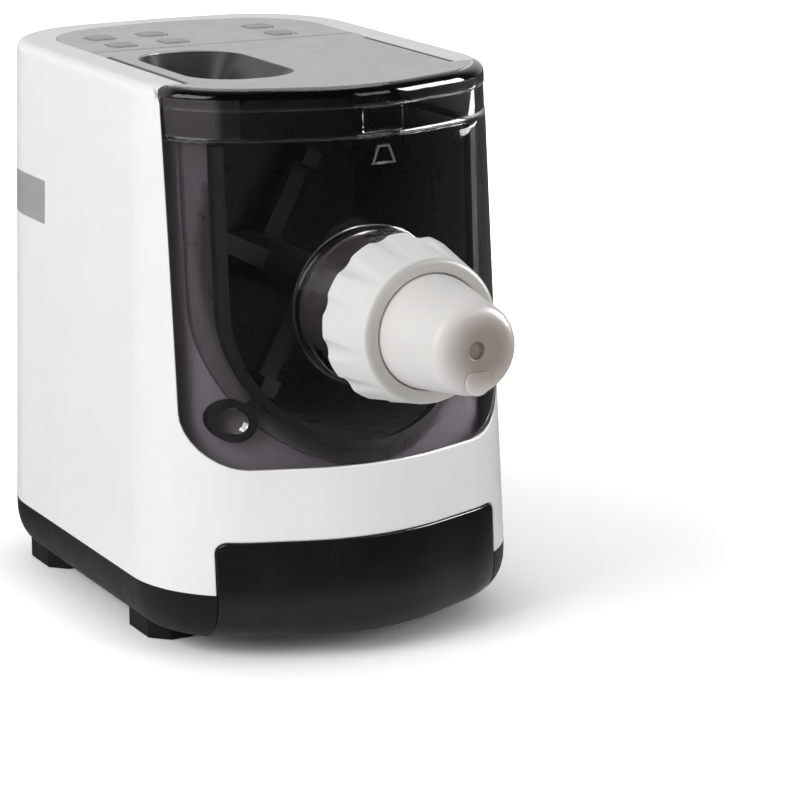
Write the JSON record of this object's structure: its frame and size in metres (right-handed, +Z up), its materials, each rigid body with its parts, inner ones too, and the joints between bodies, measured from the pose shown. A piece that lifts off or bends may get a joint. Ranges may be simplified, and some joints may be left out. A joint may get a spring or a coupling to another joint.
{
  "type": "electric pasta maker",
  "caption": "Upright electric pasta maker with a smoked front cover, screw-on die nozzle, pouring lid with buttons, pull-out drawer and geared motor drive.",
  "frame": {"origin": "on the table, under the middle of the machine's bounding box", "axes": "+Z up, the nozzle points along -Y, +X is to the right when seen from the front"},
  "size_m": [0.2072, 0.3844, 0.2908],
  "materials": {
    "white_shell": "satin white moulded plastic",
    "dark_base": "fine-grained charcoal plastic",
    "foot_rubber": "matte rubber",
    "zinc_steel": "zinc-plated steel",
    "silver_trim": "silver-painted plastic",
    "grey_panel": "satin metallic grey plastic",
    "button_grey": "soft satin grey plastic",
    "circuit_board": "green solder mask",
    "black_plastic": "black plastic",
    "inner_plastic": "dark grey moulded plastic",
    "bowl_plastic": "dark grey glossy plastic",
    "smoked_clear": "glossy smoked transparent plastic",
    "silicone": "black silicone",
    "ivory_plastic": "smooth ivory food-grade plastic",
    "brass": "turned brass",
    "cast_alloy": "die-cast alloy",
    "motor_can": "grey painted steel",
    "winding": "copper windings and laminations",
    "drawer_gloss": "dark glossy plastic"
  },
  "bodies": {
    "housing": {"housing_shell": "white_shell", "base_tray": "dark_base", "feet": "foot_rubber", "foot_screws": "zinc_steel", "rear_grip_band": "silver_trim", "control_panel": "grey_panel", "control_board": "circuit_board", "board_screws": "zinc_steel", "power_board": "circuit_board", "power_inlet": "black_plastic", "inlet_pins": "brass", "bulkhead": "inner_plastic", "bay_liner": "inner_plastic", "mixing_bowl": "bowl_plastic", "shaft_seal": "silicone", "gearbox_housing": "cast_alloy", "gearbox_cover": "cast_alloy", "gearbox_screws": "zinc_steel", "shaft_bearings": "brass", "idler_axle": "zinc_steel", "motor_case": "motor_can", "motor_stator": "winding", "motor_stand": "black_plastic", "lid_hinge_pins": "zinc_steel", "drawer_rails": "black_plastic"},
    "mixer": {"auger": "ivory_plastic", "mixing_paddle": "inner_plastic", "drive_shaft": "zinc_steel", "output_gear": "zinc_steel"},
    "idler": {"idler_gear": "ivory_plastic"},
    "motor": {"motor_rotor": "zinc_steel", "motor_pinion": "brass", "cooling_fan": "black_plastic"},
    "front_cover": {"front_cover": "smoked_clear", "extruder_barrel": "ivory_plastic", "bowl_gasket": "silicone", "die_seal": "silicone"},
    "die": {"die": "ivory_plastic"},
    "nut": {"nut": "ivory_plastic"},
    "lid": {"lid_panel": "grey_panel", "lid_skirt": "smoked_clear", "pour_funnel": "smoked_clear"},
    "latch": {"latch_button": "smoked_clear"},
    "drawer": {"drawer_front": "drawer_gloss", "drawer_tray": "dark_base"},
    "button_left_rear": {"button_left_rear": "button_grey"},
    "button_left_front": {"button_left_front": "button_grey"},
    "button_middle_rear": {"button_middle_rear": "button_grey"},
    "button_middle_front": {"button_middle_front": "button_grey"},
    "button_right_rear": {"button_right_rear": "button_grey"},
    "button_right_front": {"button_right_front": "button_grey"}
  },
  "joints": [
    {"name": "mixer_turn", "type": "hinge", "parent": "housing", "child": "mixer", "pos_m": [0, 0.07474, 0.1805], "axis": [0, -1, 0], "continuous": true},
    {"name": "idler_turn", "type": "hinge", "parent": "housing", "child": "idler", "pos_m": [0, 0.07474, 0.14], "axis": [0, -1, 0], "continuous": true},
    {"name": "motor_turn", "type": "hinge", "parent": "housing", "child": "motor", "pos_m": [0, 0.07474, 0.107], "axis": [0, -1, 0], "continuous": true},
    {"name": "cover_pull", "type": "slide", "parent": "housing", "child": "front_cover", "axis": [0, -1, 0], "range_m": [0, 0.08]},
    {"name": "die_travel", "type": "slide", "parent": "front_cover", "child": "die", "axis": [0, -1, 0], "range_m": [0, 0.006]},
    {"name": "nut_turn", "type": "hinge", "parent": "die", "child": "nut", "pos_m": [0, 0.07474, 0.1805], "axis": [0, -1, 0], "range_deg": [0, 360]},
    {"name": "lid_hinge", "type": "hinge", "parent": "housing", "child": "lid", "pos_m": [0, 0.08124, 0.286], "axis": [-1, 0, 0], "range_deg": [0, 80]},
    {"name": "latch_press", "type": "slide", "parent": "lid", "child": "latch", "axis": [0, 1, 0], "range_m": [0, 0.002], "stiffness_N_per_m": 400},
    {"name": "drawer_slide", "type": "slide", "parent": "housing", "child": "drawer", "axis": [0, -1, 0], "range_m": [0, 0.115]},
    {"name": "press_left_rear", "type": "slide", "parent": "housing", "child": "button_left_rear", "axis": [0, 0, -1], "range_m": [0, 0.001], "stiffness_N_per_m": 600},
    {"name": "press_left_front", "type": "slide", "parent": "housing", "child": "button_left_front", "axis": [0, 0, -1], "range_m": [0, 0.001], "stiffness_N_per_m": 600},
    {"name": "press_middle_rear", "type": "slide", "parent": "housing", "child": "button_middle_rear", "axis": [0, 0, -1], "range_m": [0, 0.001], "stiffness_N_per_m": 600},
    {"name": "press_middle_front", "type": "slide", "parent": "housing", "child": "button_middle_front", "axis": [0, 0, -1], "range_m": [0, 0.001], "stiffness_N_per_m": 600},
    {"name": "press_right_rear", "type": "slide", "parent": "housing", "child": "button_right_rear", "axis": [0, 0, -1], "range_m": [0, 0.001], "stiffness_N_per_m": 600},
    {"name": "press_right_front", "type": "slide", "parent": "housing", "child": "button_right_front", "axis": [0, 0, -1], "range_m": [0, 0.001], "stiffness_N_per_m": 600}
  ],
  "couplings": [
    {"joint": "idler_turn", "follows": "mixer_turn", "ratio": -2.8571},
    {"joint": "motor_turn", "follows": "mixer_turn", "ratio": 10.612},
    {"joint": "die_travel", "follows": "nut_turn", "m_per_rad": 0.00095493}
  ]
}
